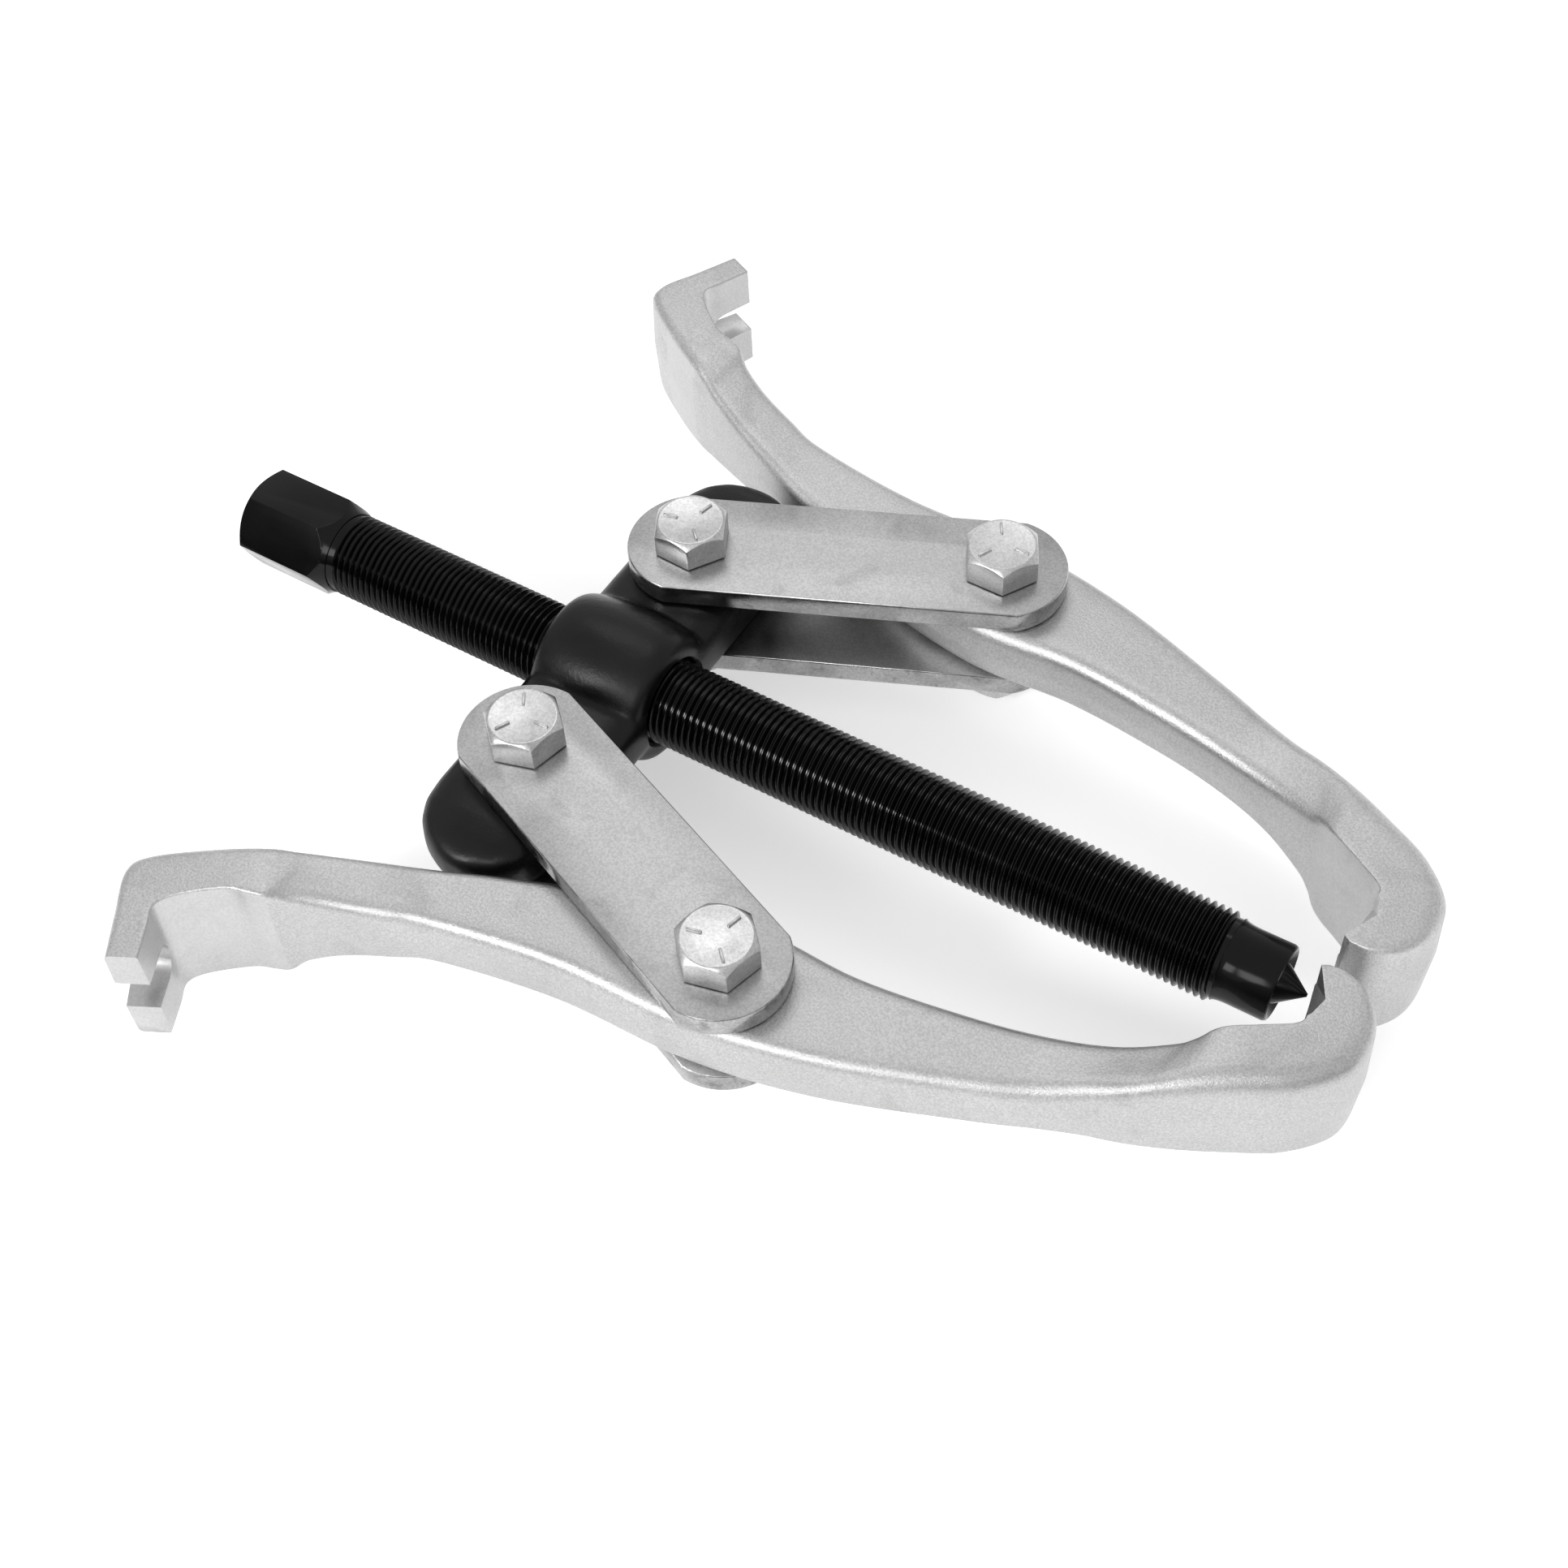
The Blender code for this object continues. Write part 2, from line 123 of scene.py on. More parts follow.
def bake(obj):
    """Keep what the object's modifiers make as its own mesh."""
    graph = bpy.context.evaluated_depsgraph_get()
    mesh = bpy.data.meshes.new_from_object(obj.evaluated_get(graph))
    obj.modifiers.clear()
    old, obj.data = obj.data, mesh
    bpy.data.meshes.remove(old)
    return obj


def boolean(obj, tool, operation="DIFFERENCE"):
    mod = obj.modifiers.new("cut", "BOOLEAN")
    mod.object = tool
    mod.operation = operation
    mod.solver = "EXACT"
    bake(obj)
    bpy.data.objects.remove(tool)
    return obj


def soften(obj, width, segments=2, angle=35):
    """A small round on every sharp edge, so that edges catch the light."""
    mod = obj.modifiers.new("soften", "BEVEL")
    mod.width = width
    mod.segments = segments
    mod.limit_method = "ANGLE"
    mod.angle_limit = radians(angle)
    mod.harden_normals = False
    return bake(obj)


def smooth_shade(obj, angle=30):
    obj.data.shade_smooth()
    obj.data.set_sharp_from_angle(angle=radians(angle))


ALONG_X = Matrix(((0, 0, 1, 0), (1, 0, 0, 0), (0, 1, 0, 0), (0, 0, 0, 1)))


def finish(obj, body, materials, place=Matrix.Identity(4), stands_for=(), angle=30):
    """Put the piece in the row frame in metres, dress it, and let it ride on its body."""
    obj.data.transform(Matrix.Scale(MM, 4) @ place)
    for mat in materials:
        obj.data.materials.append(mat)
    smooth_shade(obj, angle)
    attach(obj, body)
    if stands_for:
        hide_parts(*stands_for)
    print(obj.name, len(obj.data.polygons), "faces on", body)
    return obj


def at(point, turn=0.0, flip=False):
    """A place in the row frame: a point in millimetres and a turn about Z."""
    mirror = Matrix.Diagonal((1, -1, 1, 1)) if flip else Matrix.Identity(4)
    return Matrix.Translation(point) @ Matrix.Rotation(turn, 4, "Z") @ mirror


# %% [markdown]
# ## Finishes
# Real plating is never one flat grey. Three node groups give what the materials share: `speckle`
# for the tiny sparkle of a blasted or plated skin, `clouds` for the slow blotches that zinc gets in
# its bath, and `scores` for the straight lines a cutter leaves. Each puts out a value and a height.

# %% Node helpers
def new_group(name, inputs, outputs):
    group = bpy.data.node_groups.new(name, "ShaderNodeTree")
    for label, kind, default in inputs:
        socket = group.interface.new_socket(label, in_out="INPUT", socket_type=kind)
        if default is not None:
            socket.default_value = default
    for label, kind in outputs:
        group.interface.new_socket(label, in_out="OUTPUT", socket_type=kind)
    return group, group.nodes.new("NodeGroupInput"), group.nodes.new("NodeGroupOutput")


def node(tree, kind, **settings):
    made = tree.nodes.new(kind)
    for key, value in settings.items():
        setattr(made, key, value)
    return made


def math_node(tree, operation, first, second):
    made = node(tree, "ShaderNodeMath", operation=operation)
    for socket, value in zip(made.inputs, (first, second)):
        if isinstance(value, (int, float)):
            socket.default_value = value
        else:
            tree.links.new(value, socket)
    return made.outputs[0]


def ramp(tree, value, low, high, out_low=0.0, out_high=1.0):
    made = node(tree, "ShaderNodeMapRange", interpolation_type="SMOOTHSTEP")
    tree.links.new(value, made.inputs["Value"])
    for key, number in (("From Min", low), ("From Max", high), ("To Min", out_low), ("To Max", out_high)):
        made.inputs[key].default_value = number
    return made.outputs["Result"]


# %% Speckle: a fine grain
def speckle_group():
    tree, inside, outside = new_group(
        "speckle", (("Vector", "NodeSocketVector", None), ("Scale", "NodeSocketFloat", 900.0)),
        (("Grain", "NodeSocketFloat"),))
    fine = node(tree, "ShaderNodeTexNoise")
    fine.inputs["Detail"].default_value = 3.0
    fine.inputs["Roughness"].default_value = 0.7
    tree.links.new(inside.outputs["Vector"], fine.inputs["Vector"])
    tree.links.new(inside.outputs["Scale"], fine.inputs["Scale"])
    tree.links.new(fine.outputs["Fac"], outside.inputs["Grain"])
    return tree


SPECKLE = speckle_group()


# %% Clouds: the slow blotches of a plating bath
def clouds_group():
    tree, inside, outside = new_group(
        "clouds", (("Vector", "NodeSocketVector", None), ("Scale", "NodeSocketFloat", 60.0)),
        (("Cloud", "NodeSocketFloat"), ("Stain", "NodeSocketFloat")))
    for label, factor, low, high, detail in (("Cloud", 1.0, 0.3, 0.7, 4.0), ("Stain", 2.7, 0.55, 0.72, 6.0)):
        texture = node(tree, "ShaderNodeTexNoise")
        texture.inputs["Detail"].default_value = detail
        texture.inputs["Distortion"].default_value = 0.6
        tree.links.new(inside.outputs["Vector"], texture.inputs["Vector"])
        tree.links.new(math_node(tree, "MULTIPLY", inside.outputs["Scale"], factor), texture.inputs["Scale"])
        tree.links.new(ramp(tree, texture.outputs["Fac"], low, high), outside.inputs[label])
    return tree


CLOUDS = clouds_group()


# %% Scores: straight lines, long one way and tight the other
def scores_group():
    tree, inside, outside = new_group(
        "scores", (("Vector", "NodeSocketVector", None), ("Stretch", "NodeSocketVector", (60, 60, 2500))),
        (("Score", "NodeSocketFloat"),))
    squeeze = node(tree, "ShaderNodeVectorMath", operation="MULTIPLY")
    tree.links.new(inside.outputs["Vector"], squeeze.inputs[0])
    tree.links.new(inside.outputs["Stretch"], squeeze.inputs[1])
    lines = node(tree, "ShaderNodeTexNoise")
    lines.inputs["Scale"].default_value = 1.0
    lines.inputs["Detail"].default_value = 2.0
    tree.links.new(squeeze.outputs[0], lines.inputs["Vector"])
    tree.links.new(lines.outputs["Fac"], outside.inputs["Score"])
    return tree


SCORES = scores_group()


# %% [markdown]
# A metal finish mixes two shades of the same grey by the clouds, darkens the stains, and lets the
# speckle and the scores disturb the surface. The same function makes the plated, blasted and
# blackened finishes, because only their numbers differ.

# %% One function for every metal finish
def place_group(tree, group, coords, **inputs):
    made = node(tree, "ShaderNodeGroup", node_tree=group)
    tree.links.new(coords, made.inputs["Vector"])
    for key, value in inputs.items():
        made.inputs[key].default_value = value
    return made


def metal(name, dark, light, rough, metallic=1.0, cloud_scale=60.0, stain=0.15, grain=900.0, grain_bump=0.1,
          grain_depth=0.02, grain_shade=0.0, score=None, score_bump=0.0, edge_highlight=0.0, edge_highlight_level=0.5, shine=0.5):
    """rough is (smooth, matt); depths are in millimetres; the edge setting paints a highlight on the sharp outer edges,
    lightening them towards its level.
    """
    mat = bpy.data.materials.new(name)
    mat.use_nodes = True
    tree = mat.node_tree
    shader = tree.nodes["Principled BSDF"]
    shader.inputs["Metallic"].default_value = metallic
    shader.inputs["Specular IOR Level"].default_value = shine
    coords = node(tree, "ShaderNodeTexCoord").outputs["Object"]
    clouds = place_group(tree, CLOUDS, coords, Scale=cloud_scale)
    speck = place_group(tree, SPECKLE, coords, Scale=grain)
    shade = node(tree, "ShaderNodeMix", data_type="RGBA")
    shade.inputs[6].default_value = (dark, dark, dark, 1)
    shade.inputs[7].default_value = (light, light, light, 1)
    tree.links.new(clouds.outputs["Cloud"], shade.inputs[0])
    colour = shade.outputs[2]
    stained = node(tree, "ShaderNodeMix", data_type="RGBA", blend_type="MULTIPLY")
    stained.inputs[7].default_value = (1 - stain, 1 - stain, 1 - stain, 1)
    tree.links.new(clouds.outputs["Stain"], stained.inputs[0])
    tree.links.new(colour, stained.inputs[6])
    colour = stained.outputs[2]
    if grain_shade:
        grained = node(tree, "ShaderNodeVectorMath", operation="SCALE")
        tree.links.new(colour, grained.inputs[0])
        level = ramp(tree, speck.outputs["Grain"], 0.35, 0.65, 1 - grain_shade, 1 + grain_shade)
        tree.links.new(level, grained.inputs["Scale"])
        colour = grained.outputs[0]
    # Painted highlight: the sharp outer edges, found by their pointiness, are lightened towards a pale grey.
    if edge_highlight:
        edge = ramp(tree, node(tree, "ShaderNodeNewGeometry").outputs["Pointiness"], 0.52, 0.6, 0.0, edge_highlight)
        painted_edge_highlight = node(tree, "ShaderNodeMix", data_type="RGBA")
        painted_edge_highlight.inputs[7].default_value = (edge_highlight_level, edge_highlight_level, edge_highlight_level, 1)
        tree.links.new(edge, painted_edge_highlight.inputs[0])
        tree.links.new(colour, painted_edge_highlight.inputs[6])
        colour = painted_edge_highlight.outputs[2]
    tree.links.new(colour, shader.inputs["Base Color"])
    tree.links.new(ramp(tree, clouds.outputs["Cloud"], 0.0, 1.0, *rough), shader.inputs["Roughness"])
    normal = None
    heights = [(speck.outputs["Grain"], grain_bump, grain_depth)]
    if score:
        lines = place_group(tree, SCORES, coords, Stretch=score)
        heights.append((lines.outputs["Score"], score_bump, 0.05))
    for height, strength, depth in heights:
        bump = node(tree, "ShaderNodeBump")
        bump.inputs["Strength"].default_value = strength
        bump.inputs["Distance"].default_value = depth * MM
        tree.links.new(height, bump.inputs["Height"])
        if normal:
            tree.links.new(normal, bump.inputs["Normal"])
        normal = bump.outputs["Normal"]
    tree.links.new(normal, shader.inputs["Normal"])
    return mat


LINK_FACE = metal("zinc_bar_face", 0.38, 0.5, (0.34, 0.46), cloud_scale=42, stain=0.12, grain=2200,
                  grain_bump=0.4, grain_depth=0.02, grain_shade=0.12)
# The sheared edges carry a painted highlight along their sharp rims.
LINK_EDGE = metal("zinc_sheared_edge", 0.28, 0.46, (0.18, 0.3), cloud_scale=110, stain=0.4, grain=1800,
                  grain_bump=0.5, grain_depth=0.03, grain_shade=0.15, score=(300, 300, 900), score_bump=0.3,
                  edge_highlight=0.3, edge_highlight_level=0.7)
BOLT_ZINC = metal("zinc_bolt", 0.5, 0.6, (0.3, 0.42), cloud_scale=110, stain=0.14, grain=2000,
                  grain_bump=0.4, grain_depth=0.03, grain_shade=0.12)
FORGED_ZINC = metal("blasted_zinc", 0.49, 0.57, (0.36, 0.46), cloud_scale=30, stain=0.1, grain=2300,
                    grain_bump=1.0, grain_depth=0.09, grain_shade=0.13)
MILLED_ZINC = metal("milled_zinc", 0.5, 0.58, (0.34, 0.42), cloud_scale=45, stain=0.06, grain=1800,
                    grain_bump=0.25, grain_depth=0.03, grain_shade=0.06, score=(500, 500, 45), score_bump=0.5)
BLACK_SCREW = metal("black_oxide", 0.001, 0.002, (0.1, 0.17), metallic=0.0, cloud_scale=80, stain=0.2,
                    grain=1800, grain_bump=0.15, grain_depth=0.02, shine=0.2)
BLACK_FORGING = metal("black_forging", 0.002, 0.005, (0.26, 0.4), metallic=0.0, cloud_scale=60, stain=0.2,
                      grain=900, grain_bump=0.7, grain_depth=0.07, shine=0.24)
print("finishes", [mat.name for mat in bpy.data.materials])


# %% [markdown]
# ## Links
# Each link is a length of flat bar with its ends cropped to an arc a little wider than the bar, so
# four faint corners show where the arc meets the sides. The outline is drawn once, filled, pulled
# up to the bar's thickness, and its rims are rounded.

# %% Links
LINK_INNER_Z, LINK_THICKNESS = 7.5, 4.9
LINK_HALF_WIDTH, LINK_END_R, HOLE_R = 12.95, 13.65, 5.0


def link_blank():
    bm = bmesh.new()
    swing = asin(LINK_HALF_WIDTH / LINK_END_R)
    steps = 28
    rim = []
    for centre, facing in ((LINK_LENGTH, 0.0), (0.0, pi)):
        for i in range(steps + 1):
            angle = facing - swing + 2 * swing * i / steps
            rim.append(bm.verts.new((centre + LINK_END_R * cos(angle), LINK_END_R * sin(angle), 0)))
    face = bm.faces.new(rim)
    pulled = bmesh.ops.extrude_face_region(bm, geom=[face])["geom"]
    top = [item for item in pulled if isinstance(item, bmesh.types.BMVert)]
    bmesh.ops.translate(bm, verts=top, vec=(0, 0, LINK_THICKNESS))
    close_up(bm)
    rims = [edge for edge in bm.edges if abs(edge.verts[0].co.z - edge.verts[1].co.z) < 1e-6]
    bmesh.ops.bevel(bm, geom=rims, offset=0.45, offset_type="OFFSET", segments=3, profile=0.5,
                    affect="EDGES", material=-1)
    return bm


def link(side, level):
    low = LINK_INNER_Z if level == "upper" else -LINK_INNER_Z - LINK_THICKNESS
    bar = make_object(f"bar_{side}_{level}", link_blank())
    for x in (0.0, LINK_LENGTH):
        drill = turned(((0, -2), (HOLE_R, -2), (HOLE_R, LINK_THICKNESS + 2), (0, LINK_THICKNESS + 2)), 40)
        drill.transform(Matrix.Translation((x, 0, 0)))
        boolean(bar, make_object("drill", drill))
    for face in bar.data.polygons:
        face.material_index = 0 if abs(face.normal.z) > 0.8 else 1
    place = at(YOKE_PIVOT[side], LINK_TURN[side]) @ Matrix.Translation((0, 0, low))
    return finish(bar, f"links_{side}", (LINK_FACE, LINK_EDGE), place, (f"link_{side}_{level}",))


LINKS = [link(side, level) for side in SIDES for level in ("upper", "lower")]


# %% [markdown]
# ## Threads
# A thread is one tooth swept round an axis while it climbs. Blender's spin makes one turn of it: its
# `dvec` lifts the outline a little at every step. Copies of that turn stand exactly one pitch apart,
# so merging doubles joins them into one skin. At the ends the crests are pressed down into a cone, the way a
# die runs out of the metal.

# %% Threads
def thread(crest_r, pitch, low, high, steps=24, depth=0.62, run_in=1.0, run_out=1.0):
    """A right-hand thread up Z between two heights, closed at both ends."""
    root_r = crest_r - depth * pitch
    bm = bmesh.new()
    flank = ((root_r, 0.0), (root_r, 0.12), (crest_r - 0.05 * pitch, 0.47), (crest_r, 0.52), (crest_r, 0.6),
             (crest_r - 0.05 * pitch, 0.65), (root_r, 1.0))
    turns = max(1, round((high - low) / pitch) - 1)
    verts = [bm.verts.new((radius, 0, low + part * pitch)) for radius, part in flank]
    edges = [bm.edges.new(pair) for pair in zip(verts, verts[1:])]
    bmesh.ops.spin(bm, geom=verts + edges, cent=(0, 0, 0), axis=(0, 0, 1), dvec=(0, 0, pitch / steps),
                   angle=2 * pi, steps=steps, use_merge=False, use_duplicate=False)
    one_turn = bm.verts[:] + bm.edges[:] + bm.faces[:]
    for turn in range(1, turns):
        copied = bmesh.ops.duplicate(bm, geom=one_turn)["geom"]
        bmesh.ops.translate(bm, verts=[item for item in copied if isinstance(item, bmesh.types.BMVert)],
                            vec=(0, 0, pitch * turn))
    bmesh.ops.remove_doubles(bm, verts=bm.verts, dist=pitch * 0.01)
    for vert in bm.verts:
        radius = hypot(vert.co.x, vert.co.y)
        allowed = min(crest_r, root_r + (vert.co.z - low) / run_in, root_r + (high - vert.co.z) / run_out)
        if radius > max(allowed, root_r):
            vert.co.x *= max(allowed, root_r) / radius
            vert.co.y *= max(allowed, root_r) / radius
    bmesh.ops.holes_fill(bm, edges=[edge for edge in bm.edges if edge.is_boundary], sides=0)
    bmesh.ops.recalc_face_normals(bm, faces=bm.faces)
    return bm


# %% [markdown]
# ## Hex heads
# A hex head is a six-sided bar whose corners were turned off with a cone. Meeting a hexagon with a
# turned blank gives the same arcs on the flats that the lathe leaves. Every head here carries the
# three short radial marks of its grade, raised from the crown.

# %% Hex bars
def hex_bar(corner_r, low, high, first_corner):
    """A hexagonal bar up Z, with one corner at the given angle."""
    bm = bmesh.new()
    bmesh.ops.create_cone(bm, cap_ends=True, segments=6, radius1=corner_r, radius2=corner_r, depth=high - low,
                          matrix=Matrix.Translation((0, 0, (low + high) / 2)))
    corner = max(bm.verts, key=lambda vert: vert.co.x)
    start = atan2(corner.co.y, corner.co.x)
    bm.transform(Matrix.Rotation(first_corner - start, 4, "Z"))
    return close_up(bm)


def join_into(obj, *others):
    """One object that holds several closed shells."""
    bm = bmesh.new()
    bm.from_mesh(obj.data)
    for other in others:
        bm.from_mesh(other.data)
        bpy.data.objects.remove(other)
    bm.to_mesh(obj.data)
    bm.free()
    return obj


# %% Bolts and nuts
BOLT_R, BOLT_PITCH = 4.76, 1.058
HEAD_CORNER_R, HEAD_SIDE, HEAD_TOTAL = 8.25, 5.2, 6.5
SEAT_GAP, NUT_HEIGHT, END_PROUD = 0.3, 8.3, 2.2
YOKE_BOLT_TURN = {"near": -103.67, "far": -123.33}
JAW_BOLT_TURN = {"near": -106.22, "far": -120.58}
GRADE_MARK_TURN = {"yoke_near": 122.0, "yoke_far": 75.0, "jaw_near": 75.0, "jaw_far": 122.0}


def grade_mark(turn):
    """A short raised dash that points at the bolt's middle."""
    bm = bmesh.new()
    bmesh.ops.create_cube(bm, size=1.0)
    bmesh.ops.scale(bm, vec=(3.1, 0.6, 0.7), verts=bm.verts)
    bmesh.ops.bevel(bm, geom=bm.edges, offset=0.18, offset_type="OFFSET", segments=2, profile=0.5,
                    affect="EDGES", material=-1)
    bm.transform(Matrix.Rotation(turn, 4, "Z") @ Matrix.Translation((4.3, 0, 0)))
    return bm


def bolt(kind, side, pivot, body, first_corner):
    seat = LINK_INNER_Z + LINK_THICKNESS + SEAT_GAP
    end = -seat - NUT_HEIGHT - END_PROUD
    flat_r = HEAD_CORNER_R * cos(pi / 6)
    head = make_object(f"{kind}_bolt_head_{side}", hex_bar(HEAD_CORNER_R, 0, HEAD_TOTAL + 1, radians(first_corner)))
    crown_r = flat_r * 0.93
    blank = turned(((0, 0), (HEAD_CORNER_R + 0.3, 0), (HEAD_CORNER_R + 0.3, HEAD_SIDE - 0.35),
                    (crown_r + 0.25, HEAD_TOTAL - 0.12), (crown_r, HEAD_TOTAL), (crown_r - 0.8, HEAD_TOTAL - 0.14),
                    (0, HEAD_TOTAL - 0.14)), 72)
    boolean(head, make_object("blank", blank), "INTERSECT")
    soften(head, 0.16, 2)
    for third in range(3):
        mark = grade_mark(radians(GRADE_MARK_TURN[f"{kind}_{side}"] + 120 * third))
        mark.transform(Matrix.Translation((0, 0, HEAD_TOTAL - 0.06)))
        join_into(head, make_object("mark", mark))
    head.data.transform(Matrix.Translation((0, 0, seat)))
    shank = make_object("shank", turned(((0, end + 14), (BOLT_R, end + 14), (BOLT_R, seat + 1), (0, seat + 1)), 40))
    tip = make_object("tip", thread(BOLT_R, BOLT_PITCH, end, end + 15, steps=20, run_in=0.9, run_out=1.0))
    join_into(head, shank, tip)
    return finish(head, body, (BOLT_ZINC,), at(pivot), (f"{kind}_bolt_{side}",), angle=28)


def nut(kind, side, pivot, body, first_corner):
    top = -(LINK_INNER_Z + LINK_THICKNESS + SEAT_GAP)
    low = top - NUT_HEIGHT
    flat_r = HEAD_CORNER_R * cos(pi / 6)
    obj = make_object(f"{kind}_hex_nut_{side}", hex_bar(HEAD_CORNER_R, low - 1, top + 1, radians(first_corner)))
    blank = turned(((0, low), (flat_r * 0.95, low), (HEAD_CORNER_R + 0.2, low + 1.1), (HEAD_CORNER_R + 0.2, top - 1.1),
                    (flat_r * 0.95, top), (0, top)), 72)
    boolean(obj, make_object("blank", blank), "INTERSECT")
    bore = turned(((0, low - 1), (BOLT_R + 1.0, low - 1), (BOLT_R + 0.15, low + 0.7), (BOLT_R + 0.15, top + 1),
                   (0, top + 1)), 40)
    boolean(obj, make_object("bore", bore))
    soften(obj, 0.14, 2)
    return finish(obj, body, (BOLT_ZINC,), at(pivot), (f"{kind}_nut_{side}",), angle=28)


for side in SIDES:
    for kind, pivot, body, turn in (("yoke", YOKE_PIVOT, "yoke", YOKE_BOLT_TURN),
                                    ("jaw", JAW_PIVOT, f"links_{side}", JAW_BOLT_TURN)):
        bolt(kind, side, pivot[side], body, turn[side])
        nut(kind, side, pivot[side], body, turn[side])


# %% [markdown]
# ## Forcing screw
# The screw is black all over: a hex head, a short cone into the thread, some hundred and thirty
# turns of fine thread, and a smooth nose. The nose has a shallow dish at its end and the hardened
# centre point stands out of it.

# %% Forcing screw
SCREW_R, SCREW_PITCH = 8.95, 1.5
HEAD_FLATS, HEX_START, HEX_END, HEX_TURN = 19.0, -92.4, -72.2, 54.3
THREAD_START, THREAD_END = -68.9, 136.6
NOSE_R, NOSE_START, NOSE_END = 7.7, 139.8, 147.4
DISH_DEPTH, POINT_R, POINT_TIP = 1.6, 4.3, 152.3


def screw_place():
    return Matrix.Translation(CENTRE) @ ALONG_X


def screw_head():
    flat_r = HEAD_FLATS / 2
    corner_r = flat_r / cos(pi / 6)
    obj = make_object("screw_hex_head", hex_bar(corner_r, HEX_START, HEX_END + 6, radians(HEX_TURN)))
    blank = turned(((0, HEX_START), (flat_r * 0.93, HEX_START), (flat_r * 0.97, HEX_START + 0.15),
                    (corner_r + 0.2, HEX_START + 1.5), (corner_r + 0.2, HEX_END - 0.9), (flat_r * 0.985, HEX_END + 1.9),
                    (9.0, HEX_END + 3.0), (0, HEX_END + 3.0)), 96)
    boolean(obj, make_object("blank", blank), "INTERSECT")
    soften(obj, 0.3, 3)
    neck = turned(((0, HEX_END), (9.0, HEX_END), (9.0, HEX_END + 2.2), (8.55, THREAD_START), (8.1, THREAD_START + 1.2),
                   (0, THREAD_START + 1.2)), 96)
    return join_into(obj, make_object("neck", neck))


def screw_nose():
    lip = NOSE_R - 0.9
    outline = [(0, THREAD_END - 2.5), (7.9, THREAD_END - 2.5), (8.0, THREAD_END)]
    for i in range(9):
        angle = pi / 2 * i / 8
        outline.append((NOSE_R + 0.6 * (1 - sin(angle)), THREAD_END + (NOSE_START - THREAD_END) * (1 - cos(angle))))
    outline += [(NOSE_R, NOSE_END - 0.7), (NOSE_R - 0.25, NOSE_END - 0.15), (NOSE_R - 0.6, NOSE_END),
                (lip, NOSE_END - 0.1), (POINT_R + 0.9, NOSE_END - DISH_DEPTH + 0.25),
                (POINT_R + 0.3, NOSE_END - DISH_DEPTH), (0, NOSE_END - DISH_DEPTH)]
    return make_object("nose", turned(outline, 96))


def forcing_screw():
    obj = screw_head()
    rod = thread(SCREW_R, SCREW_PITCH, THREAD_START, THREAD_END, steps=36, run_in=0.7, run_out=0.55)
    join_into(obj, make_object("rod", rod), screw_nose())
    return finish(obj, "screw", (BLACK_SCREW,), screw_place(), ("forcing_screw",), angle=32)


def centre_point():
    floor = NOSE_END - DISH_DEPTH + 0.15
    outline = [(0, floor), (POINT_R - 0.3, floor), (POINT_R, floor + 0.3), (POINT_R, floor + 0.8),
               (POINT_R - 0.15, floor + 1.1), (0.55, POINT_TIP - 0.35), (0.3, POINT_TIP), (0, POINT_TIP)]
    obj = make_object("cone_point", turned(outline, 72))
    return finish(obj, "point", (BLACK_SCREW,), screw_place(), ("centre_point",), angle=32)


forcing_screw()
centre_point()


# %% [markdown]
# ## Jaws
# A jaw is a drop forging: an arm of even thickness that swells into a deep hook at each end. It is
# easiest to think of it as a section that travels from one hook's tip to the other's. At each
# station the section has an edge towards the screw and an edge that faces out, and each edge has its
# own half height and its own round. Forged edges are generous, and the milled gripping side is nearly sharp.
# Forged sides also swell a little towards the middle height, where the two dies met.

